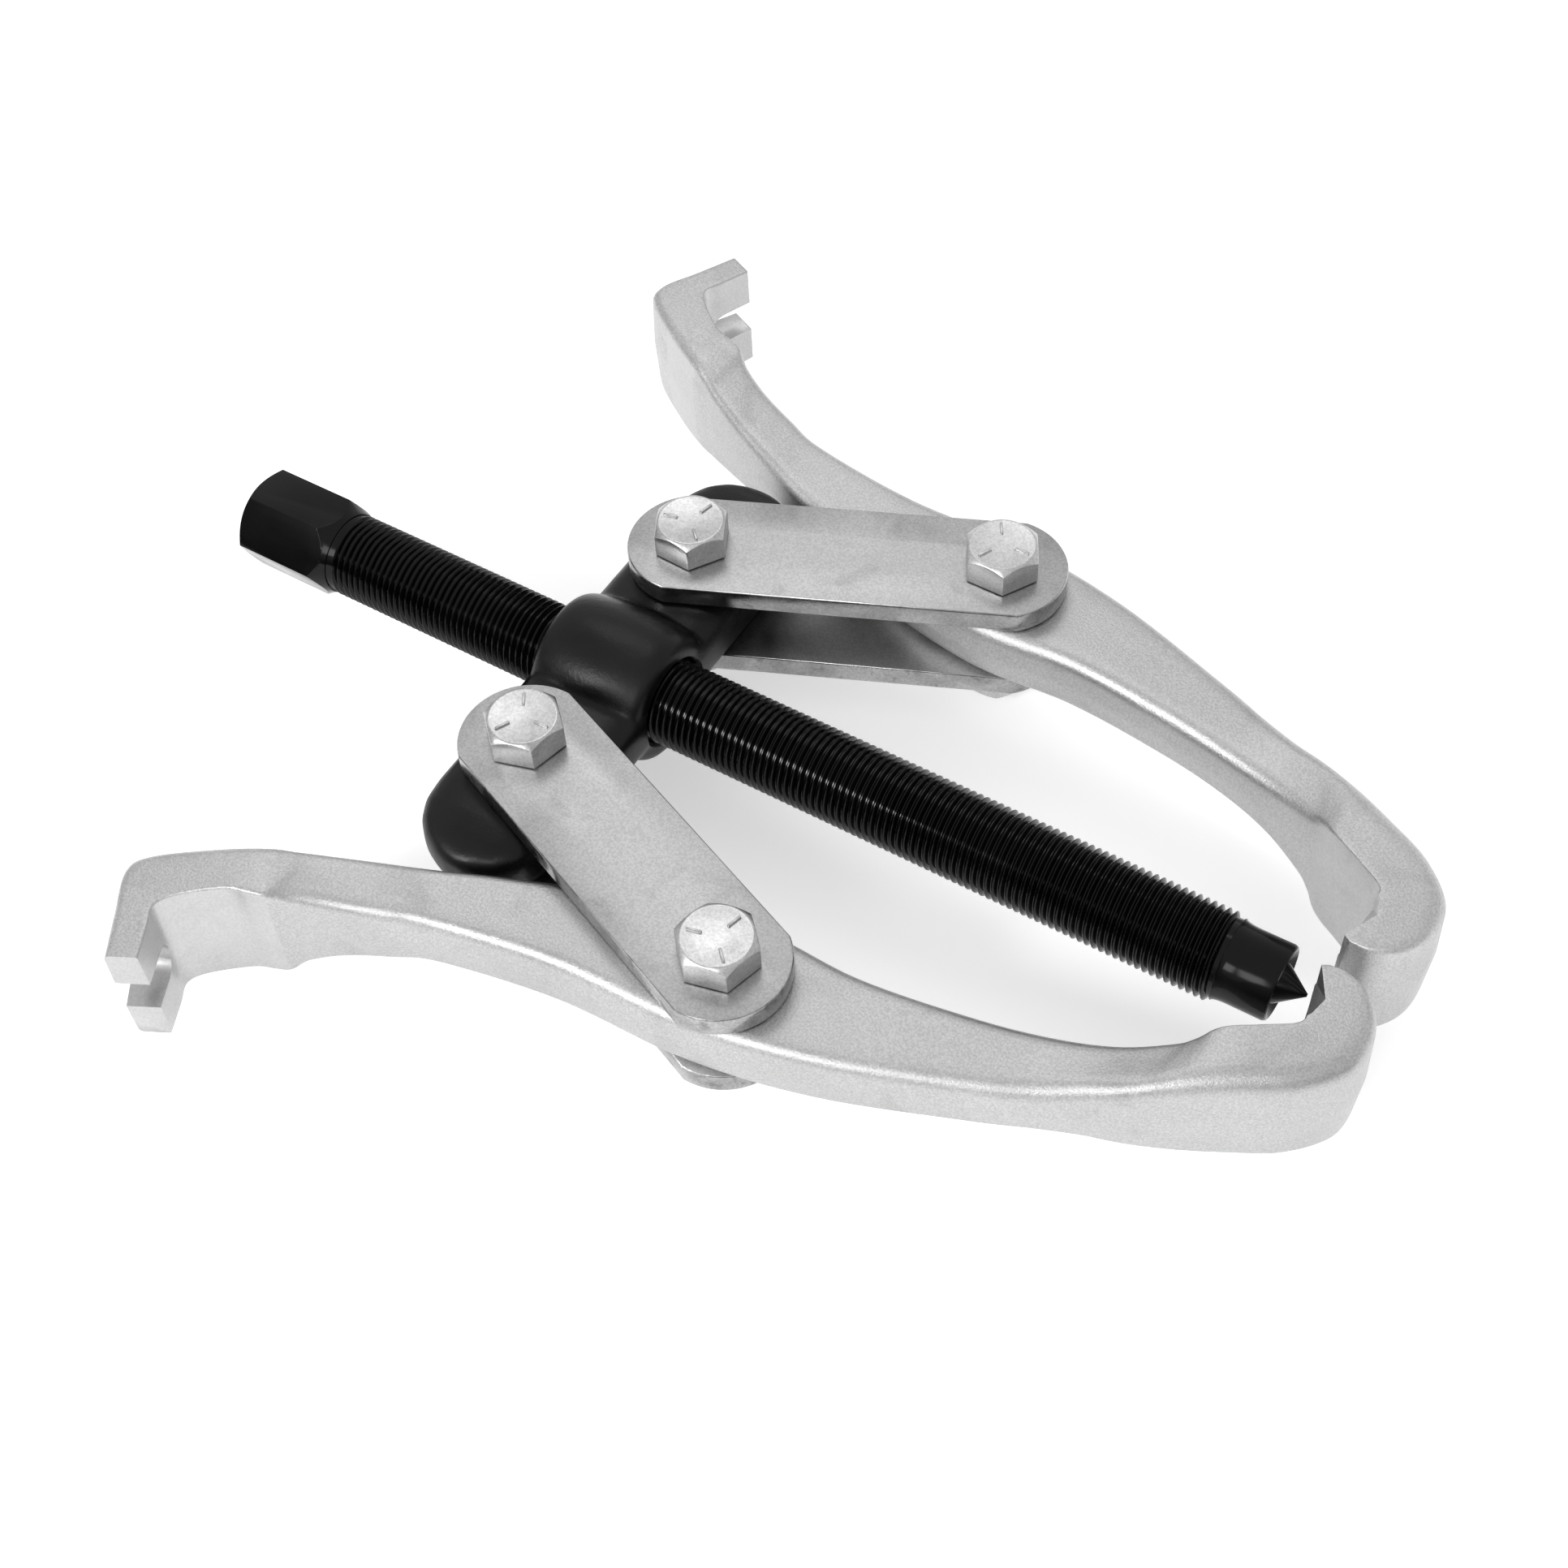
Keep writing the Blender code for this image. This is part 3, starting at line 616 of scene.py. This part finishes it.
# %% The jaw's stations
JAW_SCALE, FAR_JAW_TURN = 0.982, radians(2.0)
JAW_STATIONS = (
    ((-98.7, -58.1), (-92.9, -55.1), 13.2, 13.2, 1.2, 0.5),
    ((-104.0, -49.5), (-95.9, -48.8), 13.5, 13.5, 2.2, 0.5),
    ((-108.7, -41.0), (-97.9, -44.6), 13.6, 13.6, 2.4, 0.5),
    ((-106.7, -35.7), (-95.6, -40.6), 13.7, 13.7, 2.4, 0.6),
    ((-95.9, -27.3), (-88.9, -35.0), 13.6, 13.7, 2.4, 0.7),
    ((-88.0, -22.3), (-84.6, -33.4), 13.3, 13.4, 2.4, 0.8),
    ((-83.6, -19.7), (-81.5, -32.2), 12.1, 12.9, 2.4, 0.9),
    ((-80.0, -17.4), (-78.5, -29.9), 10.9, 11.3, 2.4, 2.2),
    ((-70.1, -12.1), (-71.9, -26.5), 9.1, 9.2, 2.8, 2.6),
    ((-58.8, -6.7), (-62.9, -22.7), 7.9, 7.9, 3.2, 2.8),
    ((-47.6, -1.4), (-53.4, -19.2), 7.2, 7.2, 3.4, 3.0),
    ((-25.4, 7.0), (-28.4, -14.6), 7.2, 7.2, 3.4, 3.0),
    ((0.0, 13.0), (0.0, -13.3), 7.2, 7.2, 3.4, 3.0),
    ((22.2, 13.0), (25.0, -8.0), 7.2, 7.2, 3.4, 3.0),
    ((44.0, 16.3), (51.8, 1.7), 6.9, 6.9, 3.4, 3.2),
    ((58.8, 19.8), (62.2, 6.1), 7.0, 7.2, 3.4, 3.6),
    ((70.5, 23.7), (70.2, 10.0), 7.8, 8.6, 3.2, 3.9),
    ((79.5, 28.0), (75.9, 12.6), 9.6, 10.1, 2.6, 4.2),
    ((82.7, 29.8), (80.9, 15.2), 11.1, 11.5, 1.6, 4.4),
    ((84.9, 31.7), (87.0, 18.6), 12.8, 12.9, 0.8, 4.6),
    ((87.4, 33.4), (94.0, 22.6), 13.5, 13.6, 0.4, 4.6),
    ((92.0, 36.2), (103.2, 28.2), 13.7, 13.7, 0.4, 4.4),
    ((97.6, 40.2), (109.4, 35.6), 13.7, 13.7, 0.4, 3.8),
    ((97.3, 44.0), (110.4, 42.4), 13.7, 13.7, 0.4, 3.2),
    ((96.7, 48.0), (109.0, 47.9), 13.7, 13.7, 0.4, 2.4),
    ((96.2, 51.0), (105.6, 52.2), 13.6, 13.6, 0.4, 2.0),
    ((95.9, 52.4), (101.2, 54.2), 13.5, 13.5, 0.4, 1.4),
    ((95.7, 53.0), (97.4, 54.0), 13.3, 13.3, 0.3, 0.6),
)
STATION_STEPS, CORNER_STEPS, TOP_STEPS, SIDE_STEPS = 8, 5, 6, 10
SLOT_HALF_HEIGHT, SLOT_DEPTH, SLOT_ROOT = 4.0, 11.0, (-101.0, -42.0)
DRAFT, FORGED_ROUND = 0.5, 2.4


def between(a, b, c, d, t):
    """Catmull-Rom: a smooth value between b and c."""
    return 0.5 * (2 * b + (c - a) * t + (2 * a - 5 * b + 4 * c - d) * t ** 2 + (3 * b - a - 3 * c + d) * t ** 3)


def jaw_sections():
    rows = [(*inner, *outer, *rest) for inner, outer, *rest in JAW_STATIONS]
    rows = [rows[0]] + rows + [rows[-1]]
    sections = []
    for i in range(1, len(rows) - 2):
        for step in range(STATION_STEPS):
            sections.append([between(*values, step / STATION_STEPS) for values in zip(*rows[i - 1:i + 3])])
    return sections + [list(rows[-1])]


def section_ring(x1, y1, x2, y2, inner_high, outer_high, inner_round, outer_round):
    """Points round the section: outer top, inner top, inner bottom, outer bottom."""
    inner, outer = Vector((x1, y1)) * JAW_SCALE, Vector((x2, y2)) * JAW_SCALE
    across = (outer - inner).normalized()
    draft = {1: DRAFT * min(1, inner_round / FORGED_ROUND), 3: DRAFT * min(1, outer_round / FORGED_ROUND)}
    corners = ((outer, across, outer_high, outer_round, 1), (inner, -across, inner_high, inner_round, 1),
               (inner, -across, inner_high, inner_round, -1), (outer, across, outer_high, outer_round, -1))
    arcs = []
    for quarter, (edge, out, high, round_r, up) in enumerate(corners):
        arc = []
        for step in range(CORNER_STEPS + 1):
            part = step / CORNER_STEPS * pi / 2
            part = part if quarter % 2 == 0 else pi / 2 - part
            flat = edge + out * round_r * (cos(part) - 1)
            arc.append(Vector((flat.x, flat.y, up * (high - round_r * (1 - sin(part))))))
        arcs.append(arc)
    ring = []
    for quarter in range(4):
        first, second = arcs[quarter], arcs[(quarter + 1) % 4]
        ring += first
        steps = TOP_STEPS if quarter % 2 == 0 else SIDE_STEPS
        for step in range(1, steps):
            point = first[-1].lerp(second[0], step / steps)
            if quarter % 2:
                swell = draft[quarter] * (1 - abs(2 * step / steps - 1))
                point += (across if quarter == 3 else -across).to_3d() * swell
            ring.append(point)
    return ring


def rings_loft(rings):
    """Start with one rim and extrude it from ring to ring; both ends are filled."""
    bm = bmesh.new()
    verts = [bm.verts.new(point) for point in rings[0]]
    rim = [bm.edges.new((verts[i], verts[(i + 1) % len(verts)])) for i in range(len(verts))]
    bm.faces.new(verts)
    for ring in rings[1:]:
        made = bmesh.ops.extrude_edge_only(bm, edges=rim)["geom"]
        rim = [item for item in made if isinstance(item, bmesh.types.BMEdge)
               and all(len(vert.link_faces) <= 2 for vert in item.verts) and len(item.link_faces) == 1]
        links = {vert: [edge.other_vert(vert) for edge in vert.link_edges if edge.other_vert(vert) in verts][0]
                 for edge in rim for vert in edge.verts}
        back = {old: new for new, old in links.items()}
        verts = [back[vert] for vert in verts]
        for vert, point in zip(verts, ring):
            vert.co = point
    bm.faces.new(verts)
    bmesh.ops.recalc_face_normals(bm, faces=bm.faces)
    return bm


def fork_cutter(tip_a, tip_b, root):
    """The cutter that splits a hook's tip: a flat slot that ends in a half round."""
    tip = (Vector(tip_a) + Vector(tip_b)) / 2 * JAW_SCALE
    inward = (Vector(root) * JAW_SCALE - tip).normalized()
    bm = bmesh.new()
    steps = 18
    rim = [bm.verts.new((-6.0, 0, -SLOT_HALF_HEIGHT)), bm.verts.new((-6.0, 0, SLOT_HALF_HEIGHT))]
    for i in range(steps + 1):
        angle = pi / 2 - pi * i / steps
        rim.append(bm.verts.new((SLOT_DEPTH - SLOT_HALF_HEIGHT * (1 - cos(angle)), 0, SLOT_HALF_HEIGHT * sin(angle))))
    pulled = bmesh.ops.extrude_face_region(bm, geom=[bm.faces.new(rim)])["geom"]
    bmesh.ops.translate(bm, verts=[item for item in pulled if isinstance(item, bmesh.types.BMVert)], vec=(0, 48, 0))
    bmesh.ops.translate(bm, verts=bm.verts, vec=(0, -24, 0))
    bm.transform(Matrix.Translation((tip.x, tip.y, 0)) @ Matrix.Rotation(atan2(inward.y, inward.x), 4, "Z"))
    return close_up(bm)


# The gripping face of the solid hook is milled a little aslant, which leaves a long triangular facet
# along its upper edge: nothing at the tip, and widest near the root.
FACET_TOP = ((95.6, 53.6), (99.5, 46.4), (98.6, 42.6), (97.4, 40.6))
FACET_DROP, JAW_TOP = 7.0, 13.7


def facet_cutter():
    bm = bmesh.new()
    flat = [Vector(point) * JAW_SCALE for point in FACET_TOP]
    high = [Vector((*point, JAW_TOP + 0.1)) for point in flat]
    deep = [Vector((flat[0].x, flat[0].y, JAW_TOP - FACET_DROP)),
            Vector((flat[-1].x, flat[-1].y, JAW_TOP - FACET_DROP))]
    clear = [point + Vector((-8, 0, 9)) for point in high + deep]
    for point in high + deep + clear:
        bm.verts.new(point)
    bmesh.ops.convex_hull(bm, input=bm.verts)
    return close_up(bm)


def milled_faces(obj):
    """Faces that a cutter cleaned after forging: the pads, the gripping faces and the fork."""
    for face in obj.data.polygons:
        x, y, z = face.center
        flat = abs(face.normal.z) < 0.3
        rear_pad = x < -80.0 and y < -22.0 and (face.normal.y < -0.2 or x > -98.0)
        fork = x < -91.0 and y < -44.0 and (abs(z) < SLOT_HALF_HEIGHT + 0.1 or face.normal.x > 0.5)
        front_pad = x > 81.0 and face.normal.x * -0.7 + face.normal.y * 0.7 > 0.4 and y < 40
        grip = x > 90 and face.normal.x < -0.6
        face.material_index = 1 if (flat and (rear_pad or front_pad or grip)) or fork else 0


def jaw(side):
    obj = make_object(f"hooked_jaw_{side}", rings_loft([section_ring(*row) for row in jaw_sections()]))
    boolean(obj, make_object("fork", fork_cutter(*JAW_STATIONS[0][:2], SLOT_ROOT)))
    boolean(obj, make_object("facet", facet_cutter()))
    drill = turned(((0, -20), (HOLE_R, -20), (HOLE_R, 20), (0, 20)), 40)
    boolean(obj, make_object("drill", drill))
    soften(obj, 0.35, 2, 55)
    milled_faces(obj)
    turn = FAR_JAW_TURN if side == "far" else 0.0
    finish(obj, f"jaw_{side}", (FORGED_ZINC, MILLED_ZINC), at(JAW_PIVOT[side], turn, side == "far"),
           (f"jaw_{side}",), angle=32)
    if side == "far":
        obj.data.flip_normals()
    return obj


for side in SIDES:
    jaw(side)


# %% [markdown]
# ## Yoke
# The yoke is one black forging: a cross bar with round ends and a drum in the middle for the thread.
# Forgings have no inside corners, so the drum and the bar are joined, remeshed as if they were clay,
# and rubbed smooth until the meeting lines turn into fillets. The holes are cut last and stay crisp.

# %% Yoke
ARM_REACH, ARM_HALF_WIDTH, ARM_HALF_HEIGHT = 56.8, 14.2, 7.2
HUB_R, HUB_HALF_LENGTH = 15.0, 13.5


def yoke_bar():
    rings = []
    count = 40
    stops = [sin(radians(angle)) for angle in range(-88, 89, 8)]
    for stop in stops:
        y = stop * ARM_REACH
        past = max(0.0, (abs(y) - (ARM_REACH - ARM_HALF_WIDTH)) / ARM_HALF_WIDTH)
        spread = max(0.02, (1 - past ** 2.2)) ** 0.5
        half = ARM_HALF_WIDTH * spread
        high = ARM_HALF_HEIGHT * (0.35 + 0.65 * spread)
        ring = []
        for i in range(count):
            angle = 2 * pi * i / count
            c, s = cos(angle), sin(angle)
            ring.append(Vector((half * abs(c) ** 0.55 * (1 if c > 0 else -1), y,
                                high * abs(s) ** 0.55 * (1 if s > 0 else -1))))
        rings.append(ring)
    return rings_loft(rings)


def yoke():
    obj = make_object("forged_yoke", yoke_bar())
    outline = [(0, -HUB_HALF_LENGTH)]
    for i in range(13):
        angle = -pi / 2 + pi * i / 12
        bulge = abs(cos(angle)) ** 0.5
        outline.append((HUB_R - 4.0 * (1 - bulge), HUB_HALF_LENGTH * sin(angle)))
    outline.append((0, HUB_HALF_LENGTH))
    hub = make_object("hub", turned(outline, 64))
    hub.data.transform(ALONG_X)
    boolean(obj, hub, "UNION")
    remesh = obj.modifiers.new("clay", "REMESH")
    remesh.mode = "VOXEL"
    remesh.voxel_size = 0.7
    rub = obj.modifiers.new("rub", "SMOOTH")
    rub.factor = 0.5
    rub.iterations = 14
    bake(obj)
    bore = turned(((0, -30), (13, -30), (10.2, -HUB_HALF_LENGTH - 0.2), (9.2, -HUB_HALF_LENGTH + 1.2),
                   (9.2, HUB_HALF_LENGTH - 1.2), (10.2, HUB_HALF_LENGTH + 0.2), (13, 30), (0, 30)), 72)
    bore.transform(ALONG_X)
    boolean(obj, make_object("bore", bore))
    for side in SIDES:
        drill = turned(((0, -20), (HOLE_R, -20), (HOLE_R, 20), (0, 20)), 40)
        drill.transform(Matrix.Translation(YOKE_PIVOT[side] - CENTRE))
        boolean(obj, make_object("drill", drill))
    return finish(obj, "yoke", (BLACK_FORGING,), at(CENTRE), ("yoke",), angle=40)


yoke()


# %% [markdown]
# ## Floor and light
# A product picture wants a pale floor and light that comes from everywhere. The floor is a wide
# sheet under the bolts' ends, the sky is a soft grey, and two large lamps give the direction.

# %% Floor
floor_bm = bmesh.new()
bmesh.ops.create_grid(floor_bm, x_segments=1, y_segments=1, size=3000)
floor = make_object("floor", floor_bm)
floor.data.transform(Matrix.Scale(MM, 4))
pale = bpy.data.materials.new("pale_floor")
pale.use_nodes = True
pale.node_tree.nodes["Principled BSDF"].inputs["Base Color"].default_value = (0.85, 0.85, 0.85, 1)
pale.node_tree.nodes["Principled BSDF"].inputs["Emission Color"].default_value = (1, 1, 1, 1)
pale.node_tree.nodes["Principled BSDF"].inputs["Emission Strength"].default_value = 0.45
pale.node_tree.nodes["Principled BSDF"].inputs["Roughness"].default_value = 0.9
floor.data.materials.append(pale)


# %% Light
def lamp(name, azimuth, height, reach, size, power):
    """A square lamp that faces the tool from an azimuth and a height, both in degrees."""
    data = bpy.data.lights.new(name, "AREA")
    data.shape = "SQUARE"
    data.size = size
    data.energy = power
    obj = bpy.data.objects.new(name, data)
    bpy.context.scene.collection.objects.link(obj)
    a, h = radians(azimuth), radians(height)
    away = Vector((cos(a) * cos(h), sin(a) * cos(h), sin(h)))
    obj.location = CENTRE * MM + away * reach
    obj.rotation_euler = (-away).to_track_quat("-Z", "Y").to_euler()
    return obj


def sky(horizon, zenith):
    """A grey sky, dark along the horizon on the camera's side and bright overhead and behind."""
    world = bpy.data.worlds.new("studio")
    bpy.context.scene.world = world
    world.use_nodes = True
    tree = world.node_tree
    tree.nodes["Background"].inputs["Color"].default_value = (1, 1, 1, 1)
    split = node(tree, "ShaderNodeSeparateXYZ")
    tree.links.new(node(tree, "ShaderNodeTexCoord").outputs["Generated"], split.inputs[0])
    overhead = ramp(tree, split.outputs["Z"], 0.06, 0.42, horizon, zenith)
    behind = ramp(tree, split.outputs["Y"], 0.0, 0.4, horizon, zenith)
    tree.links.new(math_node(tree, "MAXIMUM", overhead, behind), tree.nodes["Background"].inputs["Strength"])


sky(0.12, 0.76)
lamp("key_lamp", -113, 34, 1.2, 0.2, 4.5)
lamp("edge_lamp", -78, 36, 1.4, 0.45, 3.5)
lamp("top_lamp", 124, 58, 1.3, 0.45, 1.3)
bpy.context.scene.view_settings.view_transform = "Standard"
